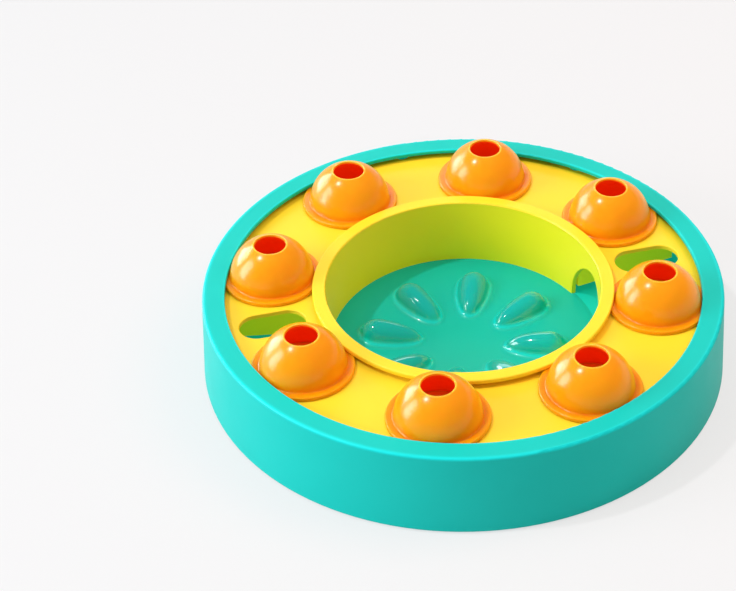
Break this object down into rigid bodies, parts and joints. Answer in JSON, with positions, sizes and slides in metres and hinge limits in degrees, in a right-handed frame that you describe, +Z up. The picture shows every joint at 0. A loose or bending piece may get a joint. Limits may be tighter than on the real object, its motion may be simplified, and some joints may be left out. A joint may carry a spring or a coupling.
{
  "type": "puzzle feeder bowl",
  "caption": "Round slow-feeding puzzle bowl: hollow domes slide round a ring track over slots that drop food through chutes and arches into a bumpy centre bowl.",
  "frame": {"origin": "middle of the bowl, on the plane that the foot pads rest on", "axes": "+Z up along the bowl's axis, +X along one feeding slot and the arch below it"},
  "size_m": [0.305, 0.305, 0.0697],
  "materials": {
    "teal_plastic": "satin",
    "yellow_plastic": "satin",
    "orange_plastic": "gloss",
    "foot_rubber": "matt",
    "screw_steel": "zinc plated"
  },
  "bodies": {
    "feeder_body": {"outer_shell": "teal_plastic", "base_plate": "teal_plastic", "track_disc": "yellow_plastic", "inner_collar": "yellow_plastic", "base_screws": "screw_steel", "foot_pad_1": "foot_rubber", "foot_pad_2": "foot_rubber", "foot_pad_3": "foot_rubber", "foot_pad_4": "foot_rubber", "foot_pad_5": "foot_rubber", "foot_pad_6": "foot_rubber", "foot_pad_7": "foot_rubber", "foot_pad_8": "foot_rubber"},
    "dome_1": {"dome_1": "orange_plastic"},
    "dome_2": {"dome_2": "orange_plastic"},
    "dome_3": {"dome_3": "orange_plastic"},
    "dome_4": {"dome_4": "orange_plastic"},
    "dome_5": {"dome_5": "orange_plastic"},
    "dome_6": {"dome_6": "orange_plastic"},
    "dome_7": {"dome_7": "orange_plastic"},
    "dome_8": {"dome_8": "orange_plastic"}
  },
  "joints": [
    {"name": "dome_ring_turn", "type": "hinge", "parent": "feeder_body", "child": "dome_1", "pos_m": [0, 0, 0.0462], "axis": [0, 0, 1], "continuous": true},
    {"name": "dome_2_slide", "type": "hinge", "parent": "dome_1", "child": "dome_2", "pos_m": [0, 0, 0.0462], "axis": [0, 0, 1], "range_deg": [-7.5, 7.5]},
    {"name": "dome_3_slide", "type": "hinge", "parent": "dome_1", "child": "dome_3", "pos_m": [0, 0, 0.0462], "axis": [0, 0, 1], "range_deg": [-7.5, 7.5]},
    {"name": "dome_4_slide", "type": "hinge", "parent": "dome_1", "child": "dome_4", "pos_m": [0, 0, 0.0462], "axis": [0, 0, 1], "range_deg": [-7.5, 7.5]},
    {"name": "dome_5_slide", "type": "hinge", "parent": "dome_1", "child": "dome_5", "pos_m": [0, 0, 0.0462], "axis": [0, 0, 1], "range_deg": [-7.5, 7.5]},
    {"name": "dome_6_slide", "type": "hinge", "parent": "dome_1", "child": "dome_6", "pos_m": [0, 0, 0.0462], "axis": [0, 0, 1], "range_deg": [-7.5, 7.5]},
    {"name": "dome_7_slide", "type": "hinge", "parent": "dome_1", "child": "dome_7", "pos_m": [0, 0, 0.0462], "axis": [0, 0, 1], "range_deg": [-7.5, 7.5]},
    {"name": "dome_8_slide", "type": "hinge", "parent": "dome_1", "child": "dome_8", "pos_m": [0, 0, 0.0462], "axis": [0, 0, 1], "range_deg": [-7.5, 7.5]}
  ]
}
